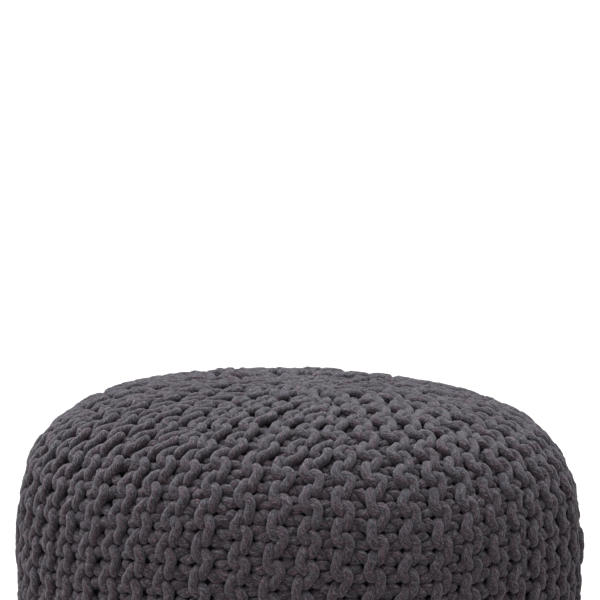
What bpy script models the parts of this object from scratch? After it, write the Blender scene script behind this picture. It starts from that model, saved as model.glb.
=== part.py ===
"""A round pouf knitted in thick rope yarn, 0.50 m across and 0.35 m high.

Metres, +Z up. The origin is the middle of the flat underside, on the floor.

The body is one filled solid. The knit's ridges run from the top pole to the bottom pole, like the
meridians of a globe. They come in equal wedges, and in each wedge all ridges but one stop short of
the poles, because a round cover is knitted from shorter and shorter rows. The single stitches on
the ridges are too many and too fine for this solid.
"""

import math

import bpy
import numpy as np

OBJECT = "knitted_pouf"

# Driving sizes
DIAMETER = 0.500
HEIGHT = 0.350
STITCH = 0.0262
RIDGE_DEPTH = 0.008

# The filled shape: one curve from pole to pole, squarer where a power is higher
SHOULDER_POWER = 3.25
CROWN_POWER = 3.80
# How far the curve would reach below the floor, if the pouf's weight did not flatten it there
PRESSED_IN = 0.012
# How much higher the top stands at its -X edge than in the middle
LEAN = 0.0053

# The knit: where each ridge of a wedge stops, and over what length it narrows, in stitches
WEDGES = 9
RIDGE_ENDS = (0.4, 1.8, 3.0, 4.2, 5.6, 7.0)
RIDGES = WEDGES * len(RIDGE_ENDS)
TAPER = 1.4
# The part of its width that a ridge keeps past its end, so that the loft stays one sheet
SPENT_WIDTH = 0.05
# The length over which the ridges are pressed flat beside the foot, in stitches
FLATTENED = 2.0

# How finely the solid is drawn
CURVE_STEPS = 4000
RING_STEP = 0.0205
FIRST_RING = 0.014
SHARP_ANGLE = 60
# The points across one ridge: the part of its width, and of its height there
PROFILE = ((0.0, 0.0), (0.32, 1.0), (0.68, 1.0))

# How uneven the knit is: parts of a ridge's width and of its depth
SEED = 41
UNEVEN_WIDTH = 0.10
UNEVEN_DEPTH = 0.12

YARN_COLOUR = (0.105, 0.092, 0.108, 1.0)
YARN_ROUGHNESS = 0.92


def clear_scene():
    for thing in list(bpy.data.objects):
        bpy.data.objects.remove(thing, do_unlink=True)


def smooth_step(x):
    """0 below 0, 1 above 1, and a soft S between."""
    x = np.clip(x, 0.0, 1.0)
    return x * x * (3.0 - 2.0 * x)


def meridian():
    """Radius, height and distance from the top pole, along the filled shape down to its flat foot."""
    middle = HEIGHT / 2
    below = middle + PRESSED_IN
    foot_angle = math.acos(-((middle / below) ** (CROWN_POWER / 2)))
    t = np.linspace(0.0, foot_angle, CURVE_STEPS)
    radius = DIAMETER / 2 * np.sin(t) ** (2 / SHOULDER_POWER)
    rise = np.abs(np.cos(t)) ** (2 / CROWN_POWER)
    height = middle + np.where(t < math.pi / 2, middle * rise, -below * rise)
    height[-1] = 0.0
    steps = np.hypot(np.diff(radius), np.diff(height))
    return radius, height, np.concatenate([[0.0], np.cumsum(steps)])


def outward(curve, at):
    """The curve's outward direction at this distance along it, as its radial and upright parts."""
    radius, height, along = curve
    ends = (max(at - 1e-3, 0.0), min(at + 1e-3, along[-1]))
    run_r = float(np.diff(np.interp(ends, along, radius))[0])
    run_z = float(np.diff(np.interp(ends, along, height))[0])
    length = math.hypot(run_r, run_z)
    return -run_z / length, run_r / length


def ridges_alive(from_pole):
    """1 for each ridge that runs at this distance from the nearer pole, and 0 past its end."""
    ends = np.tile(RIDGE_ENDS, WEDGES) * STITCH
    return smooth_step((from_pole - ends) / (TAPER * STITCH) + 0.5)


def ridge_sectors(alive, uneven_width):
    """The angle where each ridge starts and the angle it takes up. Each wedge keeps its own sector."""
    widths = (SPENT_WIDTH + (1.0 - SPENT_WIDTH) * alive) * uneven_width
    by_wedge = widths.reshape(WEDGES, len(RIDGE_ENDS))
    sectors = by_wedge / by_wedge.sum(axis=1, keepdims=True) * (2 * math.pi / WEDGES)
    sectors = sectors.reshape(-1)
    return np.cumsum(sectors) - sectors, sectors


def ring(at, curve, uneven_width, uneven_height):
    """The points of one ring of the loft: a valley and two crest points for each ridge."""
    radius, height, along = curve
    r = np.interp(at, along, radius)
    z = np.interp(at, along, height)
    out_r, out_z = outward(curve, at)
    alive = ridges_alive(min(at, along[-1] + radius[-1] - at))
    start, sector = ridge_sectors(alive, uneven_width)
    crowding = RIDGES * r / (alive.sum() * DIAMETER / 2)
    pressed = smooth_step((along[-1] - at) / (FLATTENED * STITCH))
    depth = RIDGE_DEPTH * min(1.0, crowding) * pressed
    across = []
    for share, crest in PROFILE:
        angle = start + share * sector
        sunk = depth * (1.0 - crest * alive * uneven_height)
        out = r - out_r * sunk
        across.append(np.stack([out * np.cos(angle), out * np.sin(angle), z - out_z * sunk], axis=1))
    return np.stack(across, axis=1).reshape(-1, 3)


def leaned(points):
    """The top tips a little towards +X, and the wall and the foot stay where they are."""
    middle = HEIGHT / 2
    share = smooth_step((points[:, 2] - middle) / middle)
    points[:, 2] -= LEAN * share * points[:, 0] / (DIAMETER / 2)
    return points


def pouf_points():
    """The rings from top to bottom, how many they are, and the drawn-in point on top as the last."""
    rng = np.random.default_rng(SEED)
    uneven_width = 1.0 + UNEVEN_WIDTH * rng.uniform(-1.0, 1.0, RIDGES)
    uneven_height = 1.0 - UNEVEN_DEPTH * rng.uniform(0.0, 1.0, RIDGES)
    curve = meridian()
    length = curve[2][-1]
    count = 1 + round((length - FIRST_RING) / RING_STEP)
    stations = np.linspace(FIRST_RING, length, count)
    rings = [ring(at, curve, uneven_width, uneven_height) for at in stations]
    pole = [[0.0, 0.0, HEIGHT - RIDGE_DEPTH / 2]]
    return leaned(np.concatenate(rings + [pole])), count


def pouf_mesh():
    """A loft through the rings, closed by a drawn-in point on top and a flat foot below."""
    points, count = pouf_points()
    around = len(PROFILE) * RIDGES
    pole = len(points) - 1
    faces = [(pole, i, (i + 1) % around) for i in range(around)]
    for k in range(count - 1):
        upper = k * around
        lower = upper + around
        for i in range(around):
            j = (i + 1) % around
            faces.append((upper + i, lower + i, lower + j, upper + j))
    foot = (count - 1) * around
    faces.append([foot + i for i in reversed(range(around))])
    mesh = bpy.data.meshes.new(OBJECT)
    mesh.from_pydata(points.tolist(), [], faces)
    mesh.shade_smooth()
    mesh.set_sharp_from_angle(angle=math.radians(SHARP_ANGLE))
    return mesh


def yarn_material():
    material = bpy.data.materials.new("charcoal_rope_yarn")
    material.use_nodes = True
    shader = material.node_tree.nodes["Principled BSDF"]
    shader.inputs["Base Color"].default_value = YARN_COLOUR
    shader.inputs["Roughness"].default_value = YARN_ROUGHNESS
    shader.inputs["Metallic"].default_value = 0.0
    return material


def build():
    clear_scene()
    collection = bpy.data.collections.new(OBJECT)
    bpy.context.scene.collection.children.link(collection)
    pouf = bpy.data.objects.new(OBJECT, pouf_mesh())
    pouf.data.materials.append(yarn_material())
    collection.objects.link(pouf)


build()
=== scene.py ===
"""The looks of a round pouf knitted in thick rope yarn.

Metres, +Z up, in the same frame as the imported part. The cover is garter stitch turned sideways: its
rows run from the top pole to the bottom pole, so its ridges stand upright on the side. One repeat of
the stitch is settled as real yarn would settle, laid over the filled shape, and swept into yarn.
"""

import math

import bpy
import numpy as np
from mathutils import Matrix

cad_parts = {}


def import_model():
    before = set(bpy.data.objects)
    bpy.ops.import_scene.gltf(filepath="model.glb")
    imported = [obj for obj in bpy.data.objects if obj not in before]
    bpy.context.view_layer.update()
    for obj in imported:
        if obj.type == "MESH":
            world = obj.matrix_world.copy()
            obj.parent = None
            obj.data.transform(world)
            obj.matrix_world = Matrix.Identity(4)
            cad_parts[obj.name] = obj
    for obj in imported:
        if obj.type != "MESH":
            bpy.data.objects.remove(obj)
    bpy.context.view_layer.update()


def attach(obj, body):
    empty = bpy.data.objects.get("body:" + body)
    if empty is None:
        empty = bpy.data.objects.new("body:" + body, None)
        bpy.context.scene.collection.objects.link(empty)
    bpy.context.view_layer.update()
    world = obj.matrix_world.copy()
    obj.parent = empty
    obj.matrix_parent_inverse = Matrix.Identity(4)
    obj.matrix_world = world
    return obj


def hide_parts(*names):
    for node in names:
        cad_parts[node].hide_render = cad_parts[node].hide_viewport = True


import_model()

NODE = "knitted_pouf"
BODY = "root"

# The filled shape, as the part's source has it
DIAMETER = 0.500
HEIGHT = 0.350
SHOULDER_POWER = 3.25
CROWN_POWER = 3.80
PRESSED_IN = 0.012
LEAN = 0.0053
WEDGES = 9
RIDGE_ENDS = (0.4, 1.8, 3.0, 4.2, 5.6, 7.0)
SEED = 41
UNEVEN_WIDTH = 0.10
RIDGES = WEDGES * len(RIDGE_ENDS)
CURVE_STEPS = 4000
# How far the curve's direction is averaged, so that the yarn rounds the foot's edge
TURN = 0.010

# The yarn, how close two yarns press together, and the length of a stitch down the ridge
YARN = 0.0086
CONTACT = 0.0070
STITCH = 0.0268

# One stitch, settled at four ridge widths, with its yarn's length and how flat it is pressed
CELL_WIDTHS = (0.0165, 0.0200, 0.0245, 0.0295)
LOOP_LENGTHS = (0.076, 0.079, 0.082, 0.084)
FLATTEN = (0.012, 0.014, 0.017, 0.022)
CELL_POINTS = 36
CELL_STEPS = 260
CELL_PUSH = 0.35
STRAIGHTEN = 0.05
EVEN_OUT = 0.50
# How much deeper the narrow ridges stand than the settled stitch
DEEPEN = (1.24, 1.14, 1.02, 0.95)
# Two ways the stitches come out: how far the arcs of the knit row and of the purl row lean over,
# and how slack the yarn is
STYLES = ((0.046, 0.028, 1.00), (0.026, 0.046, 1.03))
# The points along one stitch, and the weight of the stretches that don't show
STITCH_POINTS = 24
HIDDEN_WEIGHT = 0.50
# Where the longest ridges start, in stitches from the pole
FIRST_STITCH = 0.4
# The flat sides round the yarn
SIDES = 8

# How uneven the knitting is, in metres and in parts
KNIT_SEED = 7
SLIDE = 0.0022
WANDER = 0.0018
BULGE = 0.0015
BULGE_MOST = 0.0012
TENSION = 0.07
# How far one ridge's stitches lie off its neighbour's
STEP = 0.0018
# How far the stitches' rows rise and fall round the pouf, and in how many waves
DRIFT = 0.0066
DRIFT_WAVES = 4
# How far the ridges lean from straight down, in parts of their length
SPIRAL = -0.085
# How far the yarn stands out of the filled shape
LIFT = 0.0009
# A stitch that stands out: its wedge, its ridge there, its number from the top, and how far
LOOSE_STITCH = (8, 5, 12, 0.0045)

# Settling the whole cover, and how far the yarn may rise in it
SETTLE_ROOM = 0.0008
SETTLE_STEPS = 14
SETTLE_PUSH = 0.30
SETTLE_BEND = 0.04
NEAR = 0.0115
# The yarn's turns between two rows
TURN_POINTS = 10
TURN_DEPTH = 0.016

# The filling, painted dark: its colour is painted shade, the dark seen between the stitches
FILLING_DEPTH = 0.0135
FILLING_AROUND = 96
FILLING_RINGS = 64
FILLING_PAINTED_SHADE = (0.018, 0.024, 0.023)

# The strips that the yarn is laid out in, for its baked surface
STRIP_SEGMENTS = 212
STRIP_MARGIN = 0.10


def smooth_step(x):
    """0 below 0, 1 above 1, and a soft S between."""
    x = np.clip(x, 0.0, 1.0)
    return x * x * (3.0 - 2.0 * x)


# The filled shape

def meridian():
    """Radius, height and distance from the top pole, along the filled shape and its flat foot."""
    middle = HEIGHT / 2
    below = middle + PRESSED_IN
    foot_angle = math.acos(-((middle / below) ** (CROWN_POWER / 2)))
    t = np.linspace(0.0, foot_angle, CURVE_STEPS)
    radius = DIAMETER / 2 * np.sin(t) ** (2 / SHOULDER_POWER)
    rise = np.abs(np.cos(t)) ** (2 / CROWN_POWER)
    height = middle + np.where(t < math.pi / 2, middle * rise, -below * rise)
    foot = np.linspace(radius[-1], 0.0, CURVE_STEPS // 4)[1:]
    radius = np.concatenate([radius, foot])
    height = np.concatenate([height[:-1], [0.0], np.zeros(len(foot))])
    steps = np.hypot(np.diff(radius), np.diff(height))
    return radius, height, np.concatenate([[0.0], np.cumsum(steps)])


CURVE = meridian()
LENGTH = float(CURVE[2][-1])
STITCHES = round(LENGTH / STITCH - 2 * FIRST_STITCH)
PITCH = LENGTH / (STITCHES + 2 * FIRST_STITCH)


def spiral():
    """How far the ridges have turned about the pouf's axis, along the curve. It is 0 halfway up."""
    radius, height, along = CURVE
    share = smooth_step((radius / (DIAMETER / 2) - 0.2) / 0.4)
    rate = SPIRAL * share / np.maximum(radius, DIAMETER / 20)
    angle = np.concatenate([[0.0], np.cumsum(rate[1:] * np.diff(along))])
    return angle - angle[np.argmin(np.abs(height - HEIGHT / 2))]


SPIRALLED = spiral()


def on_curve(at):
    """Radius and height at these distances from the top pole, and the outward direction there."""
    radius, height, along = CURVE
    r = np.interp(at, along, radius)
    z = np.interp(at, along, height)
    before = np.clip(at - TURN, 0.0, LENGTH)
    after = np.clip(at + TURN, 0.0, LENGTH)
    run_r = np.interp(after, along, radius) - np.interp(before, along, radius)
    run_z = np.interp(after, along, height) - np.interp(before, along, height)
    length = np.hypot(run_r, run_z)
    return r, z, -run_z / length, run_r / length


def first_stitch(place):
    """How many stitches from the pole this ridge of a wedge starts."""
    return round(RIDGE_ENDS[place] - FIRST_STITCH)


def ridges_alive(at):
    """1 for each ridge of a wedge where it runs, and 0 past its end. One row for each distance."""
    from_pole = np.minimum(at, LENGTH - at)
    firsts = np.array([first_stitch(place) for place in range(len(RIDGE_ENDS))])
    ends = (firsts + FIRST_STITCH) * PITCH
    return smooth_step((from_pole[:, None] - ends[None]) / PITCH + 0.3)


def leaned(points):
    """The top tips a little towards +X, and the wall and the foot stay where they are."""
    middle = HEIGHT / 2
    share = smooth_step((points[:, 2] - middle) / middle)
    points[:, 2] -= LEAN * share * points[:, 0] / (DIAMETER / 2)
    return points


# One repeat of garter stitch: a knit row and a purl row, one stitch each

def loose_cell(width):
    """The two rows' centre lines before they settle: along the row, across the rows, outwards."""
    t = np.arange(CELL_POINTS) * 2 * math.pi / CELL_POINTS
    reach = (width / 2 + CONTACT) / 2
    rows = []
    for side, middle in ((1, -width / 4), (-1, width / 4)):
        along = STITCH * t / (2 * math.pi) + 0.15 * STITCH * np.sin(2 * t)
        across = middle - reach * np.cos(t)
        crown = 0.3 * CONTACT * np.cos(2 * math.pi * across / width)
        out = crown - side * 0.6 * CONTACT * np.cos(3 * t)
        rows.append(np.stack([along, across, out], axis=1))
    return np.array(rows)


def neighbour(rows, places):
    """The point this many places further along the endless row, for each point."""
    moved = np.roll(rows, -places, axis=1)
    if places > 0:
        moved[:, CELL_POINTS - places:, 0] += STITCH
    else:
        moved[:, :-places, 0] -= STITCH
    return moved


def stiffened(rows):
    """Draws the yarn a little straighter, and evens out how it bends."""
    before, after = neighbour(rows, -1), neighbour(rows, 1)
    bend = neighbour(rows, -2) - 4 * before + 6 * rows - 4 * after + neighbour(rows, 2)
    return rows + STRAIGHTEN * ((before + after) / 2 - rows) - EVEN_OUT * bend / 16


def leant_over(rows, leans):
    """Turns the arcs that show in front, as the yarn's own twist does."""
    for row, lean, middle in zip(rows, leans, (STITCH / 2, 0.0)):
        from_middle = (row[:, 0] - middle + STITCH / 2) % STITCH - STITCH / 2
        front = np.clip(2 * row[:, 2] / CONTACT + 0.3, 0.0, 1.0)
        row[:, 1] -= lean * from_middle * front * np.cos(math.pi * from_middle / STITCH) ** 2
    return rows


def pushed_apart(rows, width, skip):
    """Moves touching yarns apart, the neighbouring repeats' yarns included."""
    index = np.arange(CELL_POINTS)
    move = np.zeros_like(rows)
    count = np.zeros(rows.shape[:2] + (1,))
    shifts = [(i, j) for i in (-1, 0, 1) for j in (-1, 0, 1)]
    for r in range(2):
        for q in range(2):
            for i, j in shifts:
                other = rows[q] + np.array([i * STITCH, j * width, 0.0])
                gap = rows[r][:, None] - other[None]
                dist = np.sqrt((gap ** 2).sum(-1))
                near = dist < CONTACT
                if r == q and j == 0:
                    apart = index[:, None] - (index[None] + i * CELL_POINTS)
                    near &= np.abs(apart) > skip
                amount = np.where(near, (CONTACT - dist) / np.maximum(dist, 1e-9), 0.0)
                move[r] += (gap * amount[..., None]).sum(1)
                count[r] += near.sum(1)[:, None]
    return rows + CELL_PUSH * move / np.maximum(count, 1)


def held_to_length(rows, segment):
    """Draws each stretch of yarn towards its own length."""
    run = neighbour(rows, 1) - rows
    length = np.sqrt((run ** 2).sum(-1, keepdims=True))
    pull = 0.25 * run * (length - segment) / length
    return rows + pull - np.roll(pull, 1, axis=1)


def settled_cell(width, loop_length, flatten, leans):
    """The two rows after the yarn's stiffness, twist, contact and length have settled."""
    rows = loose_cell(width)
    segment = loop_length / CELL_POINTS
    skip = math.ceil(1.35 * CONTACT / segment)
    for _ in range(CELL_STEPS):
        old = rows
        rows = stiffened(rows)
        rows[..., 2] *= 1.0 - flatten
        rows = leant_over(rows, leans)
        for _ in range(3):
            rows = pushed_apart(rows, width, skip)
            rows = held_to_length(rows, segment)
        rows = rows - (rows - old).mean((0, 1))
    return rows


def resampled(row):
    """One stitch at fewer points, close together in front and wider apart behind."""
    closed = np.concatenate([row, row[:1] + np.array([[STITCH, 0.0, 0.0]])])
    steps = np.linalg.norm(np.diff(closed, axis=0), axis=1)
    out = (closed[1:, 2] + closed[:-1, 2]) / 2
    weight = HIDDEN_WEIGHT + (1 - HIDDEN_WEIGHT) * smooth_step((out / CONTACT + 0.5) / 0.6)
    reach = np.concatenate([[0.0], np.cumsum(steps * weight)])
    at = np.linspace(0.0, reach[-1], STITCH_POINTS + 1)[:-1]
    return np.stack([np.interp(at, reach, closed[:, axis]) for axis in range(3)], axis=1)


def stitch_cells(style):
    """The settled stitch at each ridge width: across is in parts of the width, and 0 is its crest."""
    *leans, slack = style
    cells = []
    for width, length, flatten, deepen in zip(CELL_WIDTHS, LOOP_LENGTHS, FLATTEN, DEEPEN):
        rows = settled_cell(width, length * slack, flatten, leans)
        rows = np.stack([resampled(row) for row in rows])
        rows[..., 1] /= width
        rows[..., 2] = (rows[..., 2] - rows[..., 2].max()) * deepen
        cells.append(rows)
    return np.array(cells)


# The whole cover

def wobble(rng, count, amount):
    """A smooth run of random numbers, one for each stitch and one beyond."""
    raw = rng.uniform(-1.0, 1.0, count + 3)
    return amount * (raw[:-2] + 2 * raw[1:-1] + raw[2:]) / 4 * 1.6


def knit_noise(rng, ridge):
    """How one ridge differs from stitch to stitch."""
    noise = {
        "slide": wobble(rng, STITCHES, SLIDE) + rng.uniform(-STEP, STEP),
        "wander": wobble(rng, STITCHES, WANDER),
        "bulge": np.minimum(rng.uniform(-BULGE, BULGE, STITCHES + 1), BULGE_MOST),
        "size": wobble(rng, STITCHES, TENSION),
        "style": np.clip(0.5 + wobble(rng, STITCHES, 0.8), 0.0, 1.0),
    }
    wedge, place, number, amount = LOOSE_STITCH
    if ridge == wedge * len(RIDGE_ENDS) + place:
        noise["bulge"][number - first_stitch(place)] = amount
    return noise


def blended(cells, width, style, kind, step):
    """The stitch's points at these ridge widths, between the two styles."""
    slot = np.interp(width, CELL_WIDTHS, np.arange(len(CELL_WIDTHS)))
    low = np.minimum(slot.astype(int), len(CELL_WIDTHS) - 2)
    mix = (slot - low)[:, None]
    local = 0.0
    for cell, share in ((cells[0], 1 - style), (cells[1], style)):
        blend = cell[low, kind, step] * (1 - mix) + cell[low + 1, kind, step] * mix
        local = local + blend * share[:, None]
    return local


def drifted(at, ridge):
    """These distances from the top pole, with the rise and fall of the stitches' rows."""
    around = 2 * math.pi * (ridge + 0.5) / RIDGES + math.pi / 2
    on_side = smooth_step((np.minimum(at, LENGTH - at) / PITCH - 2.0) / 5.0)
    return np.clip(at + DRIFT * math.sin(DRIFT_WAVES * around) * on_side, 0.0, LENGTH)


def row_points(cells, ridge, kind, uneven_width, noise):
    """One row's centre line on the pouf, from the top down, with the surface's direction there."""
    wedge, place = divmod(ridge, len(RIDGE_ENDS))
    first = first_stitch(place)
    count = STITCHES - 2 * first
    number = np.repeat(np.arange(count), STITCH_POINTS)
    step = np.tile(np.arange(STITCH_POINTS), count)
    part = np.arange(count * STITCH_POINTS) / STITCH_POINTS

    start = (first + FIRST_STITCH + number) * PITCH
    middle = start + PITCH / 2
    total = (ridges_alive(middle) * uneven_width[wedge]).sum(axis=1)
    sector = 2 * math.pi / WEDGES
    width = on_curve(middle)[0] * sector / total * uneven_width[wedge][place]

    stops = np.arange(count + 1)
    slide = np.interp(part, stops, noise["slide"][:count + 1])
    wander = np.interp(part, stops, noise["wander"][:count + 1])
    size = 1.0 + np.interp(part, stops, noise["size"][:count + 1])
    style = np.interp(part, stops, noise["style"][:count + 1])
    # The purl row's arcs show halfway between the knit row's
    bulge = np.interp(part - 0.5 + 0.5 * kind, stops, noise["bulge"][:count + 1])

    local = blended(cells, width, style, kind, step)
    at = drifted(start + local[:, 0] * PITCH / STITCH + slide, ridge)
    shares = ridges_alive(at) * uneven_width[wedge]
    total = shares.sum(axis=1)
    before = shares[:, :place].sum(axis=1) + shares[:, place] / 2
    r, z, out_r, out_z = on_curve(at)
    across = local[:, 1] * size * uneven_width[wedge][place]
    angle = sector * (wedge + (before + across) / total)
    angle = angle + np.interp(at, CURVE[2], SPIRALLED) + wander / np.maximum(r, DIAMETER / 8)
    out = local[:, 2] - YARN / 2 + bulge + LIFT
    return laid(r, z, out_r, out_z, angle, out), laid(0 * r, 0 * z, out_r, out_z, angle, 1.0)


def laid(r, z, out_r, out_z, angle, out):
    """Points at this angle round the pouf, moved outwards by this much."""
    radial = r + out_r * out
    return np.stack([radial * np.cos(angle), radial * np.sin(angle), z + out_z * out], axis=1)


def turned(end, start, end_out, start_out):
    """The yarn's way from one row's end to the next row's start, tucked in under the cover."""
    t = np.linspace(0.0, 1.0, TURN_POINTS + 2)[1:-1][:, None]
    line = end * (1 - t) + start * t
    out = end_out * (1 - t) + start_out * t
    depth = TURN_DEPTH * np.sin(math.pi * t) ** 0.7
    return line - out * depth, out


def wedge_yarn(cells, wedge, uneven_width, rng):
    """One wedge's whole yarn: knit row up, purl row down, and so on, with the turns between."""
    points = []
    outs = []
    for place in range(len(RIDGE_ENDS)):
        ridge = wedge * len(RIDGE_ENDS) + place
        noise = knit_noise(rng, ridge)
        for kind in (0, 1):
            line, out = row_points(cells, ridge, kind, uneven_width, noise)
            if kind == 0:
                line, out = line[::-1], out[::-1]
            if points:
                turn, turn_out = turned(points[-1][-1], line[0], outs[-1][-1], out[0])
                points.append(turn)
                outs.append(turn_out)
            points.append(line)
            outs.append(out)
    return np.concatenate(points), np.concatenate(outs)


def near_pairs(points, owner, index):
    """Pairs of points closer than NEAR that aren't next to each other on one yarn."""
    cell = np.floor(points / NEAR).astype(np.int64)
    cell -= cell.min(axis=0) - 1
    span = cell.max(axis=0) + 2
    key = (cell[:, 0] * span[1] + cell[:, 1]) * span[2] + cell[:, 2]
    order = np.argsort(key, kind="stable")
    ordered = key[order]
    found = []
    for dx in (-1, 0, 1):
        for dy in (-1, 0, 1):
            for dz in (-1, 0, 1):
                other = key + (dx * span[1] + dy) * span[2] + dz
                low = np.searchsorted(ordered, other, "left")
                high = np.searchsorted(ordered, other, "right")
                number = high - low
                first = np.repeat(np.arange(len(points)), number)
                offset = np.arange(number.sum()) - np.repeat(np.cumsum(number) - number, number)
                second = order[np.repeat(low, number) + offset]
                keep = first < second
                first, second = first[keep], second[keep]
                gap = points[first] - points[second]
                keep = (gap ** 2).sum(axis=1) < NEAR ** 2
                same = owner[first] == owner[second]
                keep &= ~(same & (np.abs(index[first] - index[second]) <= 3))
                found.append(np.stack([first[keep], second[keep]]))
    return np.concatenate(found, axis=1)


def settle(points, outs, owner, index):
    """Moves touching yarns of the whole cover apart, and keeps them inside its outer surface."""
    first, second = near_pairs(points, owner, index)
    start = points.copy()
    count = len(points)
    inner = (owner[1:-1] == owner[:-2]) & (owner[1:-1] == owner[2:])
    for _ in range(SETTLE_STEPS):
        gap = points[first] - points[second]
        dist = np.sqrt((gap ** 2).sum(axis=1))
        amount = np.where(dist < CONTACT, (CONTACT - dist) / np.maximum(dist, 1e-6) / 2, 0.0)
        touching = (amount > 0).astype(float)
        number = np.bincount(first, touching, count) + np.bincount(second, touching, count)
        for axis in range(3):
            push = amount * gap[:, axis]
            move = np.bincount(first, push, count) - np.bincount(second, push, count)
            points[:, axis] += 2 * SETTLE_PUSH * move / np.maximum(number, 1)
        middle = (points[:-2] + points[2:]) / 2 - points[1:-1]
        points[1:-1] += SETTLE_BEND * middle * inner[:, None]
        rise = ((points - start) * outs).sum(axis=1)
        points -= outs * np.maximum(rise - SETTLE_ROOM, 0.0)[:, None]
    return points


# Yarn meshes

def tube_rings(points):
    """Rings of vertices round a centre line, with no twist from one ring to the next."""
    run = np.empty_like(points)
    run[1:-1] = points[2:] - points[:-2]
    run[0] = points[1] - points[0]
    run[-1] = points[-1] - points[-2]
    run /= np.linalg.norm(run, axis=1, keepdims=True)
    side = np.empty_like(points)
    current = np.cross(run[0], [0.3, 0.5, 0.8])
    for i in range(len(points)):
        current = current - run[i] * current.dot(run[i])
        current = current / math.sqrt(current.dot(current))
        side[i] = current
    other = np.cross(run, side)
    angle = np.arange(SIDES) * 2 * math.pi / SIDES
    cos = np.cos(angle)[None, :, None]
    sin = np.sin(angle)[None, :, None]
    return points[:, None] + YARN / 2 * (side[:, None] * cos + other[:, None] * sin)


def yarn_mesh(name, points):
    """A closed tube along the yarn, with one map of its strips and one of the yarn's own length."""
    rings = tube_rings(points)
    rings[..., 2] = np.maximum(rings[..., 2], 0.0)
    count = len(points)
    base = np.arange(count - 1)[:, None] * SIDES
    side = np.arange(SIDES)[None]
    following = (side + 1) % SIDES
    corners = [base + side, base + following, base + SIDES + following, base + SIDES + side]
    quads = np.stack(corners, axis=-1).reshape(-1, 4)
    caps = [list(range(SIDES))[::-1], [(count - 1) * SIDES + i for i in range(SIDES)]]
    mesh = bpy.data.meshes.new(name)
    mesh.from_pydata(rings.reshape(-1, 3).tolist(), [], quads.tolist() + caps)
    mesh.shade_smooth()
    add_maps(mesh, points)
    return mesh


def add_maps(mesh, points):
    """The strips' map, and the map with metres along the yarn and turns round it."""
    steps = np.linalg.norm(np.diff(points, axis=0), axis=1)
    metres = np.concatenate([[0.0], np.cumsum(steps)])
    segments = len(points) - 1
    strips = math.ceil(segments / STRIP_SEGMENTS) + 1
    segment = np.repeat(np.arange(segments), SIDES)
    side = np.tile(np.arange(SIDES), segments)
    strip, place = np.divmod(segment, STRIP_SEGMENTS)
    left = (place + 0.5) / (STRIP_SEGMENTS + 1)
    right = (place + 1.5) / (STRIP_SEGMENTS + 1)
    low = (strip + STRIP_MARGIN / 2 + (1 - STRIP_MARGIN) * side / SIDES) / strips
    high = (strip + STRIP_MARGIN / 2 + (1 - STRIP_MARGIN) * (side + 1) / SIDES) / strips
    baked = np.stack([left, low, left, high, right, high, right, low], axis=1).reshape(-1, 2)
    from_u = metres[segment]
    to_u = metres[segment + 1]
    from_v = side / SIDES
    to_v = (side + 1) / SIDES
    yarn = np.stack([from_u, from_v, from_u, to_v, to_u, to_v, to_u, from_v], axis=1).reshape(-1, 2)
    angle = np.arange(SIDES) * 2 * math.pi / SIDES
    circle = np.stack([np.cos(angle), np.sin(angle)], axis=1) * 0.4
    for cap, x in ((0, 0.25), (1, 0.75)):
        middle = np.array([x, (strips - 0.5) / strips])
        baked = np.concatenate([baked, middle + circle / strips])
        yarn = np.concatenate([yarn, circle * YARN + np.array([metres[-1] * cap, 0.5])])
    for name, values in (("OFBake", baked), ("yarn", yarn)):
        layer = mesh.uv_layers.new(name=name)
        layer.data.foreach_set("uv", values.astype(np.float32).ravel())
    mesh.uv_layers["OFBake"].active = True


# Materials

def link(tree, source, target):
    tree.links.new(source, target)


def math_node(tree, operation, first, second=None):
    """A math node whose inputs are sockets or plain numbers."""
    node = tree.nodes.new("ShaderNodeMath")
    node.operation = operation
    for socket, value in zip(node.inputs, (first, second)):
        if value is None:
            continue
        if isinstance(value, (int, float)):
            socket.default_value = value
        else:
            link(tree, value, socket)
    return node.outputs[0]


# The yarn's strands, the length of one turn of their twist, and how deep the surface's relief is
PLIES = 5
LAY = 0.034
PLY_DEPTH = 0.00016
FIBRE_DEPTH = 0.0007
SPECKLE_DEPTH = 0.0003
# The yarn's shades from dark to light, and the tints that are laid over them
COLOURS = (
    (0.00, (0.008, 0.006, 0.008)),
    (0.34, (0.023, 0.018, 0.021)),
    (0.50, (0.034, 0.026, 0.032)),
    (0.64, (0.044, 0.034, 0.041)),
    (0.80, (0.069, 0.056, 0.065)),
    (1.00, (0.127, 0.107, 0.120)),
)
FLECKS = (
    (0.32, (0.74, 1.06, 1.12)),
    (0.45, (0.94, 1.00, 1.02)),
    (0.54, (1.04, 0.98, 1.00)),
    (0.62, (1.20, 0.87, 1.04)),
    (0.73, (1.22, 1.02, 0.72)),
)


def ramp(tree, value, stops):
    node = tree.nodes.new("ShaderNodeValToRGB")
    elements = node.color_ramp.elements
    while len(elements) < len(stops):
        elements.new(0.5)
    for element, (place, colour) in zip(elements, stops):
        element.position = place
        element.color = (*colour, 1.0)
    link(tree, value, node.inputs["Fac"])
    return node.outputs["Color"]


def strand_coordinates(tree):
    """Metres along the yarn, turns round it, and a vector that follows the twisted strands."""
    uv = tree.nodes.new("ShaderNodeUVMap")
    uv.uv_map = "yarn"
    split = tree.nodes.new("ShaderNodeSeparateXYZ")
    link(tree, uv.outputs["UV"], split.inputs[0])
    along, around = split.outputs["X"], split.outputs["Y"]
    turns = math_node(tree, "ADD", around, math_node(tree, "DIVIDE", along, LAY))
    angle = math_node(tree, "MULTIPLY", turns, 2 * math.pi)
    join = tree.nodes.new("ShaderNodeCombineXYZ")
    link(tree, math_node(tree, "COSINE", angle), join.inputs["X"])
    link(tree, math_node(tree, "SINE", angle), join.inputs["Y"])
    link(tree, along, join.inputs["Z"])
    return along, turns, join.outputs["Vector"]


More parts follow.
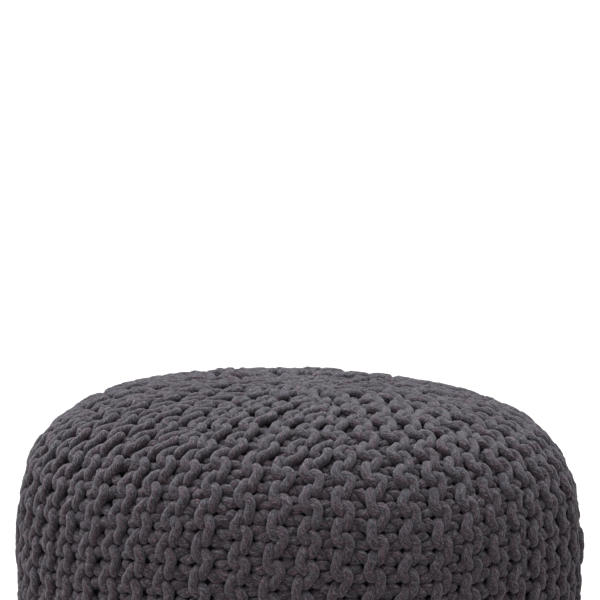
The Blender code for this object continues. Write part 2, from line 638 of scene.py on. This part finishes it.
def stretched_noise(tree, vector, across, along, detail, roughness=0.55):
    """Noise that is fine across the strands and long along them."""
    scale = tree.nodes.new("ShaderNodeVectorMath")
    scale.operation = "MULTIPLY"
    link(tree, vector, scale.inputs[0])
    scale.inputs[1].default_value = (across, across, along)
    noise = tree.nodes.new("ShaderNodeTexNoise")
    noise.inputs["Scale"].default_value = 1.0
    noise.inputs["Detail"].default_value = detail
    noise.inputs["Roughness"].default_value = roughness
    link(tree, scale.outputs["Vector"], noise.inputs["Vector"])
    return noise.outputs["Fac"]


def yarn_material():
    material = bpy.data.materials.new("charcoal_rope_yarn")
    material.use_nodes = True
    tree = material.node_tree
    shader = tree.nodes["Principled BSDF"]
    shader.inputs["Roughness"].default_value = 0.95
    shader.inputs["Specular IOR Level"].default_value = 0.15
    shader.inputs["Sheen Weight"].default_value = 0.14
    shader.inputs["Sheen Roughness"].default_value = 0.55
    shader.inputs["Sheen Tint"].default_value = (0.85, 0.82, 0.90, 1.0)

    along, turns, vector = strand_coordinates(tree)
    wave = math_node(tree, "SINE", math_node(tree, "MULTIPLY", turns, PLIES * math.pi))
    ply_and_groove_shade = math_node(tree, "ABSOLUTE", wave)
    fibre = stretched_noise(tree, vector, 5.5, 520.0, 2.0, 0.7)
    speckle = stretched_noise(tree, vector, 7.0, 1100.0, 1.0, 0.6)
    heather = stretched_noise(tree, vector, 3.0, 330.0, 2.0, 0.6)
    tint = stretched_noise(tree, vector, 1.2, 80.0, 5.0, 0.75)

    # The ply term darkens the grooves between the strands: that is painted shade. The heather, fibre and
    # speckle terms are the yarn's own uneven tone.
    shades = ((ply_and_groove_shade, 0.6, 0.08), (heather, 0.5, 1.4), (fibre, 0.5, 1.6), (speckle, 0.5, 2.4))
    value = 0.5
    for part, middle, weight in shades:
        away = math_node(tree, "SUBTRACT", part, middle)
        value = math_node(tree, "ADD", value, math_node(tree, "MULTIPLY", away, weight))
    base = ramp(tree, value, COLOURS)
    tinted = tree.nodes.new("ShaderNodeMix")
    tinted.data_type = "RGBA"
    tinted.blend_type = "MULTIPLY"
    tinted.inputs["Factor"].default_value = 1.0
    link(tree, base, tinted.inputs[6])
    link(tree, ramp(tree, tint, FLECKS), tinted.inputs[7])
    link(tree, tinted.outputs[2], shader.inputs["Base Color"])

    relief = 0.0
    for part, depth in ((ply_and_groove_shade, PLY_DEPTH), (fibre, FIBRE_DEPTH), (speckle, SPECKLE_DEPTH)):
        relief = math_node(tree, "ADD", relief, math_node(tree, "MULTIPLY", part, depth))
    bump = tree.nodes.new("ShaderNodeBump")
    bump.inputs["Strength"].default_value = 1.0
    bump.inputs["Distance"].default_value = 1.0
    link(tree, relief, bump.inputs["Height"])
    link(tree, bump.outputs["Normal"], shader.inputs["Normal"])
    return material


def plain_material(name, colour, roughness):
    material = bpy.data.materials.new(name)
    material.use_nodes = True
    shader = material.node_tree.nodes["Principled BSDF"]
    shader.inputs["Base Color"].default_value = (*colour, 1.0)
    shader.inputs["Roughness"].default_value = roughness
    return material


# Pieces

def add_piece(name, mesh, material):
    piece = bpy.data.objects.new(name, mesh)
    bpy.context.scene.collection.objects.link(piece)
    mesh.materials.append(material)
    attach(piece, BODY)
    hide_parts(NODE)
    return piece


def painted_shade_sheet_mesh():
    """A sheet just under the yarn for the filled body, closed at both poles; it carries the painted shade
    seen between the stitches.
    """
    at = np.linspace(0.0, LENGTH, FILLING_RINGS + 2)[1:-1]
    r, z, out_r, out_z = on_curve(at)
    angle = np.tile(np.arange(FILLING_AROUND) * 2 * math.pi / FILLING_AROUND, FILLING_RINGS)
    r, z, out_r, out_z = (np.repeat(values, FILLING_AROUND) for values in (r, z, out_r, out_z))
    rings = laid(r, z, out_r, out_z, angle, -FILLING_DEPTH)
    ends = [[0.0, 0.0, HEIGHT - FILLING_DEPTH], [0.0, 0.0, FILLING_DEPTH]]
    points = np.concatenate([rings, ends])
    top = len(points) - 2
    faces = []
    for i in range(FILLING_AROUND):
        j = (i + 1) % FILLING_AROUND
        faces.append((top, i, j))
        for k in range(FILLING_RINGS - 1):
            upper = k * FILLING_AROUND
            lower = upper + FILLING_AROUND
            faces.append((upper + i, lower + i, lower + j, upper + j))
        last = (FILLING_RINGS - 1) * FILLING_AROUND
        faces.append((top + 1, last + j, last + i))
    mesh = bpy.data.meshes.new("pouf_inner_painted_shade")
    mesh.from_pydata(leaned(points).tolist(), [], faces)
    mesh.shade_smooth()
    return mesh


def add_painted_shade_sheet():
    # The filling's dark colour is painted shade: it stands for the shadow in the gaps between the
    # stitches.
    piece = add_piece("pouf_inner_painted_shade", painted_shade_sheet_mesh(), plain_material("painted_gap_shade", FILLING_PAINTED_SHADE, 1.0))


def knit_cover(material):
    """The cover, one piece for each wedge."""
    widths = np.random.default_rng(SEED).uniform(-1.0, 1.0, RIDGES)
    uneven_width = (1.0 + UNEVEN_WIDTH * widths).reshape(WEDGES, len(RIDGE_ENDS))
    cells = [stitch_cells(style) for style in STYLES]
    rng = np.random.default_rng(KNIT_SEED)
    yarns = [wedge_yarn(cells, wedge, uneven_width, rng) for wedge in range(WEDGES)]
    counts = [len(points) for points, _ in yarns]
    owner = np.repeat(np.arange(WEDGES), counts)
    index = np.concatenate([np.arange(count) for count in counts])
    points = np.concatenate([points for points, _ in yarns])
    outs = np.concatenate([out for _, out in yarns])
    points = settle(points, outs, owner, index)
    points = leaned(points)
    for wedge in range(WEDGES):
        name = f"knit_wedge_{wedge + 1}"
        add_piece(name, yarn_mesh(name, points[owner == wedge]), material)


# The studio

FLOOR_FLAT = 8.0
FLOOR_REACH = 60.0
FLOOR_RISE = 8.0
FLOOR_COLOUR = (0.43, 0.395, 0.387)
FLOOR_SIDES = 64
# Each light's elevation, azimuth, strength, spread and colour
HIGH_LIGHT = (76.0, -134.0, 8.8, 80.0, (0.97, 1.06, 1.055))
FRONT_LIGHT = (8.0, -38.0, 1.05, 60.0, (1.06, 0.92, 0.97))
SURROUND_COLOUR = (1.03, 0.97, 0.97)
SURROUND_STRENGTH = 0.18
EYE = (0.00135, -2.348, 0.672)
EYE_TILT = 83.92
LENS = 160.3


def floor():
    """A pale floor that rises gently far away."""
    angle = np.arange(FLOOR_SIDES) * 2 * math.pi / FLOOR_SIDES
    points = [(0.0, 0.0, 0.0)]
    for radius, height in ((FLOOR_FLAT, 0.0), (FLOOR_REACH, FLOOR_RISE)):
        points += [(radius * math.cos(a), radius * math.sin(a), height) for a in angle]
    faces = []
    for i in range(FLOOR_SIDES):
        j = (i + 1) % FLOOR_SIDES
        faces.append((0, 1 + i, 1 + j))
        faces.append((1 + i, 1 + FLOOR_SIDES + i, 1 + FLOOR_SIDES + j, 1 + j))
    mesh = bpy.data.meshes.new("floor")
    mesh.from_pydata(points, [], faces)
    mesh.materials.append(plain_material("pale_floor", FLOOR_COLOUR, 0.9))
    piece = bpy.data.objects.new("floor", mesh)
    bpy.context.scene.collection.objects.link(piece)


def sun(name, elevation, azimuth, strength, spread, colour):
    """A soft light from this direction. Azimuth 0 comes from the viewer's side, 90 from the right."""
    data = bpy.data.lights.new(name, "SUN")
    data.energy = strength
    data.color = colour
    data.angle = math.radians(spread)
    lamp = bpy.data.objects.new(name, data)
    lamp.rotation_euler = (math.radians(90 - elevation), 0.0, math.radians(azimuth))
    bpy.context.scene.collection.objects.link(lamp)


def world(colour, strength):
    back = bpy.data.worlds.new("studio")
    back.use_nodes = True
    shade = back.node_tree.nodes["Background"]
    shade.inputs["Color"].default_value = (*colour, 1.0)
    shade.inputs["Strength"].default_value = strength
    bpy.context.scene.world = back


def camera():
    data = bpy.data.cameras.new("camera")
    data.lens = LENS
    data.sensor_width = 36.0
    data.clip_end = 200.0
    eye = bpy.data.objects.new("camera", data)
    eye.location = EYE
    eye.rotation_euler = (math.radians(EYE_TILT), 0.0, 0.0)
    bpy.context.scene.collection.objects.link(eye)
    bpy.context.scene.camera = eye


bpy.context.scene.view_settings.view_transform = "Standard"
camera()
world(SURROUND_COLOUR, SURROUND_STRENGTH)
sun("high", *HIGH_LIGHT)
sun("front", *FRONT_LIGHT)
floor()
add_painted_shade_sheet()
knit_cover(yarn_material())
